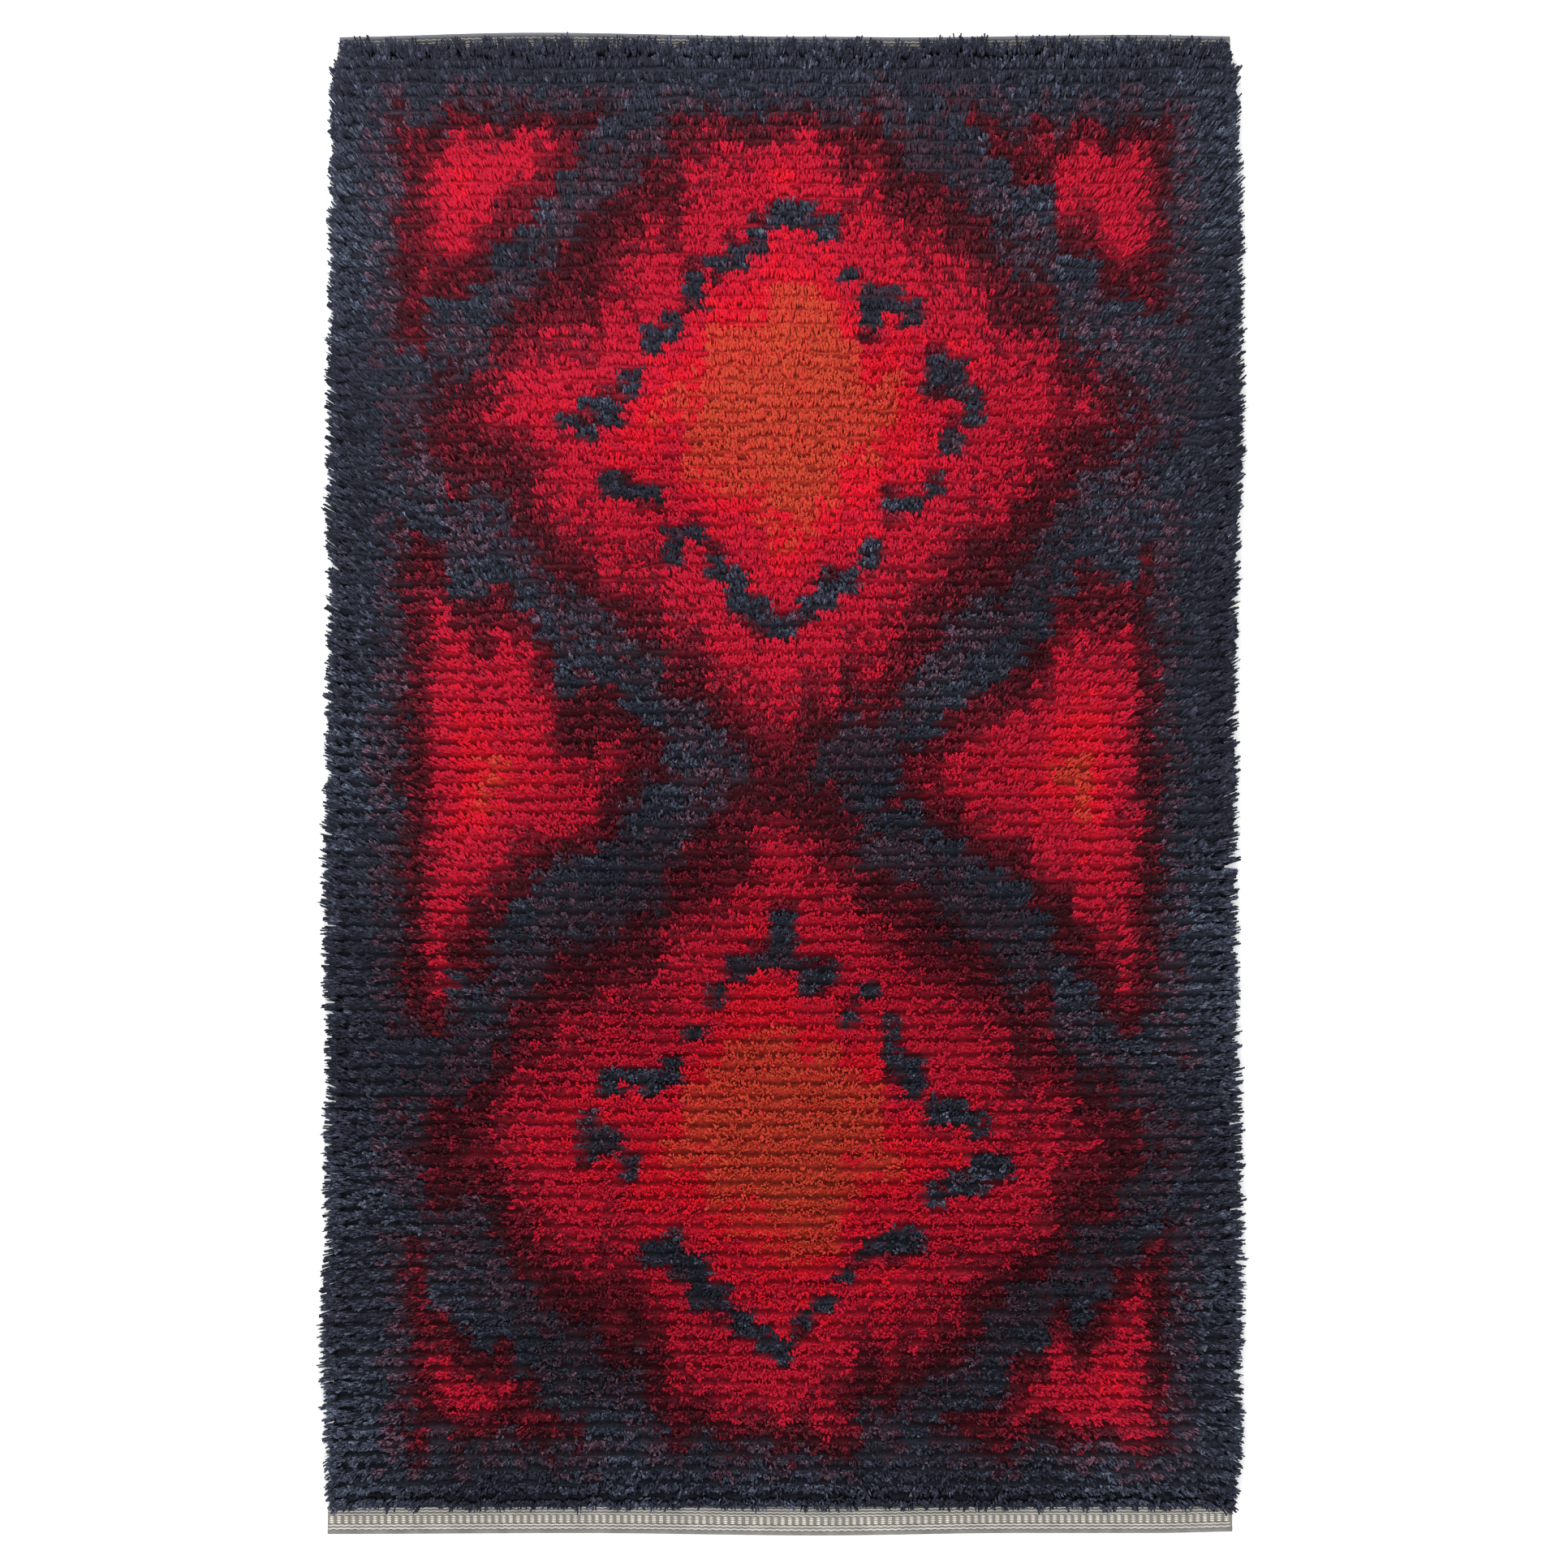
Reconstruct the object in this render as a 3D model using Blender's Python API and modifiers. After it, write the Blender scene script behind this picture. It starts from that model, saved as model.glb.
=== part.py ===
"""A rya rug lying flat on the floor, its length along Y and its pile up.

The ground is a woven cloth with a turned band at each end. The pile stands on it as one soft mass,
ridged by its rows of knots, with a lock of yarn at both ends of every row and along both end rows.
"""

import math
import random

import bmesh
import bpy

# Ground cloth
GROUND_LENGTH = 1.628
GROUND_THICK = 0.0032
GROUND_EDGE_ROUND = 0.0012
GROUND_COLUMNS = 14
GROUND_ROWS = 24

# How far each end of the cloth falls short of its full length, read across the rug
END_EDGE = {
    "far": [(-0.50, 0.0050), (-0.27, 0.0000), (0.02, 0.0042), (0.14, 0.0050), (0.38, 0.0024), (0.50, 0.0040)],
    "near": [(-0.50, 0.0016), (-0.22, 0.0026), (0.04, 0.0000), (0.25, 0.0026), (0.40, 0.0026), (0.50, 0.0044)],
}

# How far the left and the right side stand from the middle line, as (along the rug, left, right)
CLOTH_SIDES = [
    (-0.814, 0.4930, 0.4870),
    (-0.400, 0.4900, 0.4890),
    (0.000, 0.4890, 0.4830),
    (0.400, 0.4870, 0.4895),
    (0.760, 0.4870, 0.4875),
    (0.814, 0.4800, 0.4845),
]
PILE_SIDES = [
    (-0.790, 0.4876, 0.4869),
    (-0.590, 0.4880, 0.4875),
    (-0.400, 0.4846, 0.4863),
    (-0.210, 0.4843, 0.4810),
    (-0.110, 0.4862, 0.4802),
    (0.080, 0.4841, 0.4797),
    (0.180, 0.4817, 0.4819),
    (0.380, 0.4824, 0.4874),
    (0.570, 0.4802, 0.4861),
    (0.760, 0.4821, 0.4852),
    (0.800, 0.4720, 0.4750),
]

# Pile
TOUCH_GAP = 0.0003
PILE_WIDTH = 1.0
PILE_FAR_END = 0.792
PILE_NEAR_END = -0.781
ROW_COUNT = 103
ROW_PITCH = (PILE_FAR_END - PILE_NEAR_END) / ROW_COUNT
ROW_WAVE = 0.0012
PILE_COLUMNS = 15
PILE_BOTTOM = GROUND_THICK + TOUCH_GAP
PILE_TOP = 0.027
GROOVE_DEPTH = 0.0055
LUMP_HEIGHT = 0.0022
EDGE_FALL = 0.0095
EDGE_FALL_REACH = 0.030
SIDE_WALL = 0.488

# Locks of yarn at the rim, which fall outwards and a little away from the middle of the rug
LOCK_PITCH = 0.0215
SIDE_LOCK = 0.013
FAR_LOCK = 0.0145
NEAR_LOCK = 0.011
LOCK_SHORTEST = 0.45
LOCK_TIP_HEIGHT = 0.0095
LOCK_LEAN = 0.007
LOCK_SEED = 12

GROUND_GREY = (0.37, 0.353, 0.325, 1.0)
PILE_RED = (0.30, 0.012, 0.026, 1.0)


def smooth_step(share):
    """0 below 0, 1 above 1, and an even S between."""
    share = min(max(share, 0.0), 1.0)
    return share * share * (3.0 - 2.0 * share)


def along_table(table, place, column=1):
    """One column of a short table read at a place, with soft turns between its rows."""
    if place <= table[0][0]:
        return table[0][column]
    for lower, upper in zip(table, table[1:]):
        if place <= upper[0]:
            share = smooth_step((place - lower[0]) / (upper[0] - lower[0]))
            return lower[column] + (upper[column] - lower[column]) * share
    return table[-1][column]


def wool(name, colour, roughness):
    """A dull, unmetallic fibre finish."""
    material = bpy.data.materials.new(name)
    material.use_nodes = True
    shader = material.node_tree.nodes["Principled BSDF"]
    shader.inputs["Base Color"].default_value = colour
    shader.inputs["Roughness"].default_value = roughness
    shader.inputs["Metallic"].default_value = 0.0
    return material


def unit_grid(columns, rows):
    """A flat grid from -1 to 1 in X and Y."""
    grid = bmesh.new()
    bmesh.ops.create_grid(grid, x_segments=columns, y_segments=rows, size=1.0)
    return grid


def add_object(name, grid, material, collection):
    """Turns a finished bmesh into a named object."""
    mesh = bpy.data.meshes.new(name)
    grid.to_mesh(mesh)
    grid.free()
    mesh.materials.append(material)
    thing = bpy.data.objects.new(name, mesh)
    collection.objects.link(thing)
    return thing


def ground_outline(u, v):
    """Where a point of the unit grid lies on the cloth: straight weave, with soft uneven edges."""
    end = END_EDGE["far" if v > 0 else "near"]
    y = v * GROUND_LENGTH / 2
    x = u * along_table(CLOTH_SIDES, y, 2 if u > 0 else 1)
    return x, y - v * abs(v) * along_table(end, x)


def make_ground_cloth(collection):
    """One woven sheet, with its edges rounded over as turned and beaten cloth is."""
    grid = unit_grid(GROUND_COLUMNS, GROUND_ROWS)
    for point in grid.verts:
        point.co.x, point.co.y = ground_outline(point.co.x, point.co.y)
    cloth = add_object("ground_cloth", grid, wool("ground_weave", GROUND_GREY, 0.85), collection)
    thickness = cloth.modifiers.new("thickness", "SOLIDIFY")
    thickness.thickness = GROUND_THICK
    thickness.offset = 1.0
    rounding = cloth.modifiers.new("rounding", "BEVEL")
    rounding.width = GROUND_EDGE_ROUND
    rounding.segments = 2
    rounding.limit_method = "ANGLE"
    rounding.angle_limit = math.radians(60)
    return cloth


def pile_height(x, y, in_groove):
    """Height of the pile's upper side: low lumps, a groove between rows, and a fall towards the rim."""
    lumps = math.sin(11.0 * x + 4.0 * math.sin(3.1 * y)) * math.sin(9.0 * y + 3.0 * math.sin(4.3 * x))
    small_lumps = 0.5 * math.sin(37.0 * x + 2.3 * y) * math.sin(29.0 * y - 5.0 * x)
    to_side = SIDE_WALL - abs(x)
    to_end = min(PILE_FAR_END - y, y - PILE_NEAR_END)
    to_rim = min(to_side, to_end)
    fall = EDGE_FALL * (1.0 - smooth_step(to_rim / EDGE_FALL_REACH))
    groove = GROOVE_DEPTH if in_groove else 0.0
    return PILE_TOP + LUMP_HEIGHT * (lumps + small_lumps) / 1.5 - groove - fall


def shape_pile_top(grid):
    """Lays the unit grid out as the pile's upper side. Every second line is the groove between two rows."""
    for point in grid.verts:
        line = round((point.co.y + 1.0) * ROW_COUNT)
        x = SIDE_WALL * math.sin(point.co.x * math.pi / 2)
        y = PILE_NEAR_END + line * ROW_PITCH / 2
        point.co = (x, y, pile_height(x, y, line % 2 == 0))


def open_row_ends(grid):
    """Takes the ridge points off both sides, so that the wall there has one face for each row."""
    ridge_ends = [
        point
        for point in grid.verts
        if abs(abs(point.co.x) - SIDE_WALL) < TOUCH_GAP
        and round((point.co.y - PILE_NEAR_END) / (ROW_PITCH / 2)) % 2 == 1
    ]
    bmesh.ops.dissolve_verts(grid, verts=ridge_ends)


def is_end_edge(edge):
    """True for an edge along the first or the last row."""
    middle = (edge.verts[0].co.y + edge.verts[1].co.y) / 2
    across = abs(edge.verts[0].co.y - edge.verts[1].co.y) < TOUCH_GAP
    return across and (abs(middle - PILE_FAR_END) < TOUCH_GAP or abs(middle - PILE_NEAR_END) < TOUCH_GAP)


def divide_end_rows(grid):
    """Divides both end rows evenly enough for a lock about every LOCK_PITCH."""
    for edge in [edge for edge in grid.edges if edge.is_boundary and is_end_edge(edge)]:
        cuts = round(edge.calc_length() / LOCK_PITCH) - 1
        if cuts > 0:
            bmesh.ops.subdivide_edges(grid, edges=[edge], cuts=cuts)


def close_below(grid):
    """Drops a wall from the rim, closes the flat underside, and returns the wall's faces."""
    rim = [edge for edge in grid.edges if edge.is_boundary]
    dropped = bmesh.ops.extrude_edge_only(grid, edges=rim)["geom"]
    for point in (item for item in dropped if isinstance(item, bmesh.types.BMVert)):
        point.co.z = PILE_BOTTOM
    wall = [item for item in dropped if isinstance(item, bmesh.types.BMFace)]
    lower_rim = [edge for edge in grid.edges if edge.is_boundary]
    underside = bmesh.ops.contextual_create(grid, geom=lower_rim)["faces"][0]
    corners = {
        (point.co.x > 0, round(point.co.y / ROW_PITCH, 3)): point
        for point in underside.verts
        if abs(abs(point.co.x) - SIDE_WALL) < TOUCH_GAP
    }
    heights = sorted({height for _, height in corners})[1:-1]
    for height in heights:
        strip, _ = bmesh.utils.face_split(underside, corners[False, height], corners[True, height])
        underside = max(strip, underside, key=lambda face: len(face.verts))
    return wall


def raise_locks(grid, wall):
    """Draws each face of the wall out to the tip of a lock."""
    chance = random.Random(LOCK_SEED)
    tips = bmesh.ops.poke(grid, faces=wall)["verts"]
    tips.sort(key=lambda tip: (round(tip.co.x, 5), round(tip.co.y, 5)))
    for tip in tips:
        share = chance.uniform(LOCK_SHORTEST, 1.0)
        stray = chance.uniform(-0.002, 0.002)
        if abs(abs(tip.co.x) - SIDE_WALL) < TOUCH_GAP:
            tip.co.x += math.copysign(SIDE_LOCK * share, tip.co.x)
            tip.co.y += LOCK_LEAN * tip.co.y / PILE_FAR_END + stray
        elif tip.co.y > 0:
            tip.co.y += FAR_LOCK * share
        else:
            tip.co.y -= NEAR_LOCK * share
        tip.co.z = LOCK_TIP_HEIGHT + chance.uniform(-0.0015, 0.0015)


def lay_unevenly(grid):
    """Gives the pile its wandering sides and slightly bowed rows, and its full width."""
    for point in grid.verts:
        x, y, _ = point.co
        side = along_table(PILE_SIDES, y, 2 if x > 0 else 1)
        point.co.x += math.copysign(side - SIDE_WALL, x) * min(abs(x) / SIDE_WALL, 1.0)
        point.co.y += ROW_WAVE * math.sin(6.0 * x + 5.0 * y) * (1.0 - min(abs(y) / PILE_FAR_END, 1.0) ** 4)
    left = min(point.co.x for point in grid.verts)
    right = max(point.co.x for point in grid.verts)
    for point in grid.verts:
        point.co.x = (point.co.x - (left + right) / 2) * PILE_WIDTH / (right - left)


def make_pile(collection):
    """The whole pile as one soft ridged slab with locks round its rim."""
    grid = unit_grid(PILE_COLUMNS, 2 * ROW_COUNT)
    shape_pile_top(grid)
    open_row_ends(grid)
    divide_end_rows(grid)
    raise_locks(grid, close_below(grid))
    lay_unevenly(grid)
    bmesh.ops.recalc_face_normals(grid, faces=grid.faces)
    return add_object("pile", grid, wool("pile_wool", PILE_RED, 0.95), collection)


def main():
    for old in list(bpy.data.objects):
        bpy.data.objects.remove(old, do_unlink=True)
    rug = bpy.data.collections.new("rya_rug")
    bpy.context.scene.collection.children.link(rug)
    make_ground_cloth(rug)
    make_pile(rug)


main()
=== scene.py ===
import math

import bmesh
import bpy
import numpy as np
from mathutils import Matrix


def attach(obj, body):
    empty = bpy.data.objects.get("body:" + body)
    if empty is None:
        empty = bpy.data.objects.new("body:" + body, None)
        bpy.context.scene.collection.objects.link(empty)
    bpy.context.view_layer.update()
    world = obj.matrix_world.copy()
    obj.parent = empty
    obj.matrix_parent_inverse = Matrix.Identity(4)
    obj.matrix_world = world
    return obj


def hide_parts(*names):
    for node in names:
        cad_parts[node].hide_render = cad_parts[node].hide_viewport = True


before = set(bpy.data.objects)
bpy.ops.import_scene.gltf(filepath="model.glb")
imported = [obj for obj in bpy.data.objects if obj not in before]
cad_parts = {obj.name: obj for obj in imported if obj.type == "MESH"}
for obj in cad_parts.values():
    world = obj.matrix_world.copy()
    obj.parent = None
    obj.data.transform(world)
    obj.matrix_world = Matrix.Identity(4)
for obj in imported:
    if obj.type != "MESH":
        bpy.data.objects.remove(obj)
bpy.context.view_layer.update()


# Ground cloth
# The rug's ground is one woven length of linen and wool. Each end is woven flat as a narrow band and
# its last few millimetres are turned and beaten into a plump grey fold. The cloth lies on the floor.

CLOTH_LENGTH = 1.628
CLOTH_COLUMNS = 40
GROUND_STEP = 0.026
RIB_PITCH = 0.0021
GROUND_WARP_PITCH = 0.0039
FOLD_REACH = 0.0100
FOLD_BLEND = 0.0004
END_FADE_POWER = 8
SELVAGE_SHARE = 0.5
SELVAGE_PULL = 0.0060
SELVAGE_PULL_RUN = 0.020
BACK_ROW = -0.775
BACK_ROW_PITCH = 0.015304
BACK_KNOT_PITCH = 0.0077
BACK_HEIGHT = 0.0003
PILE_START = 0.788

# How far each end falls short of the full length, read across the rug: (across, short)
END_EDGE = {
    "far": [
        (-0.50, 0.0050), (-0.27, 0.0000), (0.02, 0.0042),
        (0.14, 0.0050), (0.38, 0.0024), (0.50, 0.0040),
    ],
    "near": [
        (-0.50, 0.0016), (-0.22, 0.0026), (0.04, 0.0000),
        (0.25, 0.0026), (0.40, 0.0026), (0.50, 0.0044),
    ],
}

# How far each side stands from the middle line: (along the rug, left, right)
CLOTH_SIDES = [
    (-0.814, 0.4930, 0.4870),
    (-0.400, 0.4900, 0.4890),
    (0.000, 0.4890, 0.4830),
    (0.400, 0.4870, 0.4895),
    (0.760, 0.4870, 0.4875),
    (0.814, 0.4800, 0.4845),
]

# Height of the cloth, read inwards from an end: the fold, the hollow that the cords fill, the ground
CLOTH_PROFILE = [
    (0.0000, 0.0008),
    (0.0005, 0.0019),
    (0.0016, 0.0028),
    (0.0034, 0.0029),
    (0.0046, 0.0023),
    (0.0053, 0.0012),
    (0.0290, 0.0012),
    (0.0320, 0.0026),
    (0.0500, 0.0026),
]


def soft_turn(share):
    """0 below 0, 1 above 1, and an even S between."""
    share = np.clip(share, 0.0, 1.0)
    return share * share * (3.0 - 2.0 * share)


def read_table(table, place, column=1):
    """One column of a short table read at many places, with soft turns between its rows."""
    rows = np.array([row[0] for row in table])
    values = np.array([row[column] for row in table])
    place = np.clip(place, rows[0], rows[-1])
    lower = np.clip(np.searchsorted(rows, place, side="right") - 1, 0, len(rows) - 2)
    share = soft_turn((place - rows[lower]) / (rows[lower + 1] - rows[lower]))
    return values[lower] + (values[lower + 1] - values[lower]) * share


def side_reach(table, x, y):
    """How far the side on which each point lies stands from the middle line."""
    return np.where(np.asarray(x) > 0, read_table(table, y, 2), read_table(table, y, 1))


def end_line(end, x, inwards):
    """The Y of a line that runs across the rug a given way inwards from one of its ends."""
    outwards = 1.0 if end == "far" else -1.0
    return outwards * (CLOTH_LENGTH / 2 - read_table(END_EDGE[end], x) - inwards)


def add_piece(name, mesh, slot, *replaced):
    """A finished mesh as a piece of the rug, which lies as one thing on the floor."""
    piece = bpy.data.objects.new(name, mesh)
    bpy.context.scene.collection.objects.link(piece)
    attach(piece, "root")
    if replaced:
        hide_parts(*replaced)
    return piece


def new_material(name, roughness, sheen=0.0):
    """A matt fibre finish, as its node tree and shader."""
    material = bpy.data.materials.new(name)
    material.use_nodes = True
    shader = material.node_tree.nodes["Principled BSDF"]
    shader.inputs["Roughness"].default_value = roughness
    shader.inputs["Specular IOR Level"].default_value = 0.15
    shader.inputs["Sheen Weight"].default_value = sheen
    shader.inputs["Sheen Roughness"].default_value = 0.5
    return material, material.node_tree, shader


def add_node(tree, kind, wires=None, **settings):
    """A node with its settings made and its inputs, named or numbered, wired or filled."""
    node = tree.nodes.new(kind)
    for setting, value in settings.items():
        setattr(node, setting, value)
    inputs = [socket for socket in node.inputs if socket.enabled]
    for place, source in (wires or {}).items():
        by_name = [socket for socket in inputs if socket.name == place]
        socket = by_name[0] if by_name else inputs[place]
        if isinstance(source, bpy.types.NodeSocket):
            tree.links.new(source, socket)
        else:
            socket.default_value = source
    return node


def first_output(node):
    """The first of a node's outputs that is in use."""
    return [socket for socket in node.outputs if socket.enabled][0]


def maths(tree, operation, *terms):
    """The result of one sum on numbers."""
    return first_output(add_node(tree, "ShaderNodeMath", dict(enumerate(terms)), operation=operation))


def vector_maths(tree, operation, *terms):
    """The result of one sum on vectors."""
    return first_output(add_node(tree, "ShaderNodeVectorMath", dict(enumerate(terms)), operation=operation))


def mix_colour(tree, share, one, other):
    """A colour a share of the way from one to the other."""
    wires = {"Factor": share, "A": one, "B": other}
    return first_output(add_node(tree, "ShaderNodeMix", wires, data_type="RGBA"))


def noise(tree, place, scale, detail=2.0):
    """Soft random clouds between 0 and 1."""
    wires = {"Vector": place, "Scale": scale, "Detail": detail}
    return add_node(tree, "ShaderNodeTexNoise", wires).outputs["Fac"]


def between(tree, value, start, stop, low=0.0, high=1.0):
    """A value carried from one range to another, and held at its ends."""
    wires = {"Value": value, "From Min": start, "From Max": stop, "To Min": low, "To Max": high}
    return first_output(add_node(tree, "ShaderNodeMapRange", wires, clamp=True))


def colour_attribute(tree, name):
    """A colour that the mesh carries under a name."""
    return add_node(tree, "ShaderNodeAttribute", attribute_name=name).outputs["Color"]


def number_attribute(tree, name):
    """A number that the mesh carries under a name."""
    return add_node(tree, "ShaderNodeAttribute", attribute_name=name).outputs["Fac"]


def object_place(tree):
    """The place of each point in the piece's own space."""
    return add_node(tree, "ShaderNodeTexCoord").outputs["Object"]


def cloth_lines():
    """Where the cloth's cross lines lie, as the share of its length, close together at the ends."""
    near_ends = [inwards for inwards, _ in CLOTH_PROFILE]
    half = CLOTH_LENGTH / 2
    middle = np.linspace(-half + near_ends[-1], half - near_ends[-1], round(CLOTH_LENGTH / GROUND_STEP))
    low = [-half + inwards for inwards in near_ends[:-1]]
    high = [half - inwards for inwards in reversed(near_ends[:-1])]
    return np.concatenate([low, middle, high]) / half


def cloth_reach(across, y):
    """How far the cloth reaches to a side. Under the pile its selvage is drawn in by the knots."""
    drawn_in = SELVAGE_PULL * float(soft_turn((PILE_START - abs(y)) / SELVAGE_PULL_RUN))
    return float(side_reach(CLOTH_SIDES, across, y)) - drawn_in


def make_cloth_mesh():
    """A closed sheet with a flat underside, whose upper side follows the profile at both ends."""
    lines = cloth_lines()
    grid = bmesh.new()
    bmesh.ops.create_grid(grid, x_segments=CLOTH_COLUMNS, y_segments=len(lines) - 1, size=1.0)
    raised = bmesh.ops.extrude_face_region(grid, geom=list(grid.faces))["geom"]
    upper = {item for item in raised if isinstance(item, bmesh.types.BMVert)}
    for point in grid.verts:
        line = round((point.co.y + 1.0) * (len(lines) - 1) / 2)
        v = lines[line]
        across = point.co.x
        y = v * CLOTH_LENGTH / 2
        x = math.sin(across * math.pi / 2) * cloth_reach(across, y)
        end = "far" if v > 0 else "near"
        inwards = (1.0 - abs(v)) * CLOTH_LENGTH / 2
        short = float(read_table(END_EDGE[end], x))
        point.co.x = x
        point.co.y = y - math.copysign(short * abs(v) ** END_FADE_POWER, v)
        height = np.interp(inwards, *zip(*CLOTH_PROFILE))
        point.co.z = height if point in upper else 0.0
        if point in upper and abs(across) > 0.999:
            point.co.z = height * SELVAGE_SHARE
    bmesh.ops.recalc_face_normals(grid, faces=grid.faces)
    mesh = bpy.data.meshes.new("ground_cloth_sheet")
    grid.to_mesh(mesh)
    grid.free()
    mesh.shade_smooth()
    mesh.set_sharp_from_angle(angle=math.radians(50))
    return mesh


def make_cloth_material():
    """Weft ribs across the rug in taupe and cream, a grey fold at each end, the far one darkened as painted
    shade, knot flecks below.
    """
    material, tree, shader = new_material("woven_ground", 0.9)
    place = object_place(tree)
    axes = add_node(tree, "ShaderNodeSeparateXYZ", {"Vector": place})
    ribs = maths(tree, "SINE", maths(tree, "MULTIPLY", axes.outputs["Y"], 2 * math.pi / RIB_PITCH))
    warp_turns = maths(tree, "MULTIPLY", axes.outputs["X"], 2 * math.pi / GROUND_WARP_PITCH)
    warps = maths(tree, "SINE", warp_turns)
    weave = maths(tree, "MULTIPLY", ribs, warps)
    clouds = noise(tree, place, 42.0, 3.0)
    fuzz = noise(tree, place, 900.0, 2.0)
    taupe, cream = (0.16, 0.145, 0.125, 1), (0.33, 0.31, 0.275, 1)
    ground = mix_colour(tree, between(tree, weave, -0.6, 0.6), taupe, cream)
    dull_grey, pale_grey = (0.150, 0.143, 0.140, 1), (0.215, 0.205, 0.198, 1)
    fold = mix_colour(tree, between(tree, clouds, 0.35, 0.65), dull_grey, pale_grey)
    # The far fold is its own bluish grey, darkened as painted shade
    far_painted_shade = maths(tree, "GREATER_THAN", axes.outputs["Y"], 0.0)
    fold = mix_colour(tree, far_painted_shade, fold, (0.120, 0.122, 0.142, 1))
    from_end = maths(tree, "SUBTRACT", CLOTH_LENGTH / 2, maths(tree, "ABSOLUTE", axes.outputs["Y"]))
    is_fold = between(tree, from_end, FOLD_REACH - FOLD_BLEND, FOLD_REACH, 1.0, 0.0)
    colour = mix_colour(tree, is_fold, ground, fold)
    from_row = maths(tree, "SUBTRACT", axes.outputs["Y"], BACK_ROW)
    rows = maths(tree, "COSINE", maths(tree, "MULTIPLY", from_row, 2 * math.pi / BACK_ROW_PITCH))
    columns = maths(tree, "MULTIPLY", axes.outputs["X"], 2 * math.pi / BACK_KNOT_PITCH)
    columns = maths(tree, "MULTIPLY", maths(tree, "COSINE", columns), 0.35)
    dots = between(tree, maths(tree, "ADD", rows, columns), 0.75, 1.05)
    is_below = maths(tree, "LESS_THAN", axes.outputs["Z"], BACK_HEIGHT)
    is_back = maths(tree, "MULTIPLY", dots, is_below)
    colour = mix_colour(tree, is_back, colour, colour_attribute(tree, "knot_back"))
    colour = mix_colour(tree, between(tree, fuzz, 0.3, 0.7, 0.0, 0.30), colour, (0.10, 0.09, 0.08, 1))
    tree.links.new(colour, shader.inputs["Base Color"])
    relief = maths(tree, "ADD", weave, maths(tree, "MULTIPLY", fuzz, 1.5))
    bump = add_node(tree, "ShaderNodeBump", {"Strength": 0.5, "Distance": 0.0004, "Height": relief})
    tree.links.new(bump.outputs["Normal"], shader.inputs["Normal"])
    return material


cloth_mesh = make_cloth_mesh()
cloth_mesh.materials.append(make_cloth_material())
ground_sheet = add_piece("ground_sheet", cloth_mesh, "ground_weave", "ground_cloth")


# End bands
# Each end carries a band of thick wefts: cream and grey cords that ride over and under the warps in
# waves, and between them a ladder of short cream floats. They are beaten down onto the ground cloth.

WARP_PITCH = 0.00775
CORD_HEIGHT = 0.0021
CORD_WAVE = 0.00045
CORD_SIDES = 4
CORD_MARGIN = 0.00175
LADDER_MARGIN = 0.0040

# The near band's cords, read inwards from the end: (middle, thickness, yarn)
BAND_CORDS = [
    (0.0060, 0.0020, "cream"),
    (0.0078, 0.0016, "grey"),
    (0.0095, 0.0020, "cream"),
    (0.0109, 0.0010, "taupe"),
    (0.0202, 0.0010, "taupe"),
    (0.0214, 0.0020, "cream"),
    (0.0231, 0.0015, "grey"),
    (0.0247, 0.0020, "cream"),
    (0.0263, 0.0015, "grey"),
    (0.0279, 0.0020, "cream"),
]
FAR_CORDS_SHOWN = 5
# The share of its colour that the far band keeps: painted shade under the pile's nap
FAR_PAINTED_SHADE = 0.42
LADDER_STRENGTH = 1.25
LADDER_START = 0.0115
LADDER_FLOATS = 4
FLOAT_PITCH = 0.0021
FLOAT_THICK = 0.0021
FLOAT_LONG = 0.0042
FLOAT_END_SHARE = 0.62
FLOAT_LIFT = 0.0004
BAND_YARNS = {
    "cream": ((0.50, 0.477, 0.440, 1), (0.63, 0.605, 0.560, 1)),
    "grey": ((0.175, 0.166, 0.153, 1), (0.27, 0.257, 0.240, 1)),
    "taupe": ((0.15, 0.137, 0.120, 1), (0.24, 0.222, 0.195, 1)),
}


def make_band_material(name, yarn, brightness_and_painted_shade):
    """Two-ply linen and wool, a little uneven in colour along each cord. At the far end it is darkened as
    painted shade.
    """
    dark, light = [tuple(brightness_and_painted_shade * value for value in colour[:3]) + (1,) for colour in BAND_YARNS[yarn]]
    material, tree, shader = new_material(name, 0.85, 0.05)
    place = object_place(tree)
    clouds = noise(tree, place, 60.0, 3.0)
    fuzz = noise(tree, place, 1400.0, 2.0)
    colour = mix_colour(tree, between(tree, clouds, 0.3, 0.7), dark, light)
    shadow = tuple(0.45 * value for value in dark[:3]) + (1,)
    colour = mix_colour(tree, between(tree, fuzz, 0.45, 0.75, 0.0, 0.6), colour, shadow)
    tree.links.new(colour, shader.inputs["Base Color"])
    bump = add_node(tree, "ShaderNodeBump", {"Strength": 0.4, "Distance": 0.0003, "Height": fuzz})
    tree.links.new(bump.outputs["Normal"], shader.inputs["Normal"])
    return material


def new_tree(name, inputs):
    """An empty geometry tree with a mesh in, a mesh out, and named inputs for its sizes."""
    tree = bpy.data.node_groups.new(name, "GeometryNodeTree")
    tree.interface.new_socket("Mesh", in_out="INPUT", socket_type="NodeSocketGeometry")
    for label, kind in inputs:
        tree.interface.new_socket(label, in_out="INPUT", socket_type=kind)
    tree.interface.new_socket("Mesh", in_out="OUTPUT", socket_type="NodeSocketGeometry")
    return tree, tree.nodes.new("NodeGroupInput"), tree.nodes.new("NodeGroupOutput")


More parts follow.
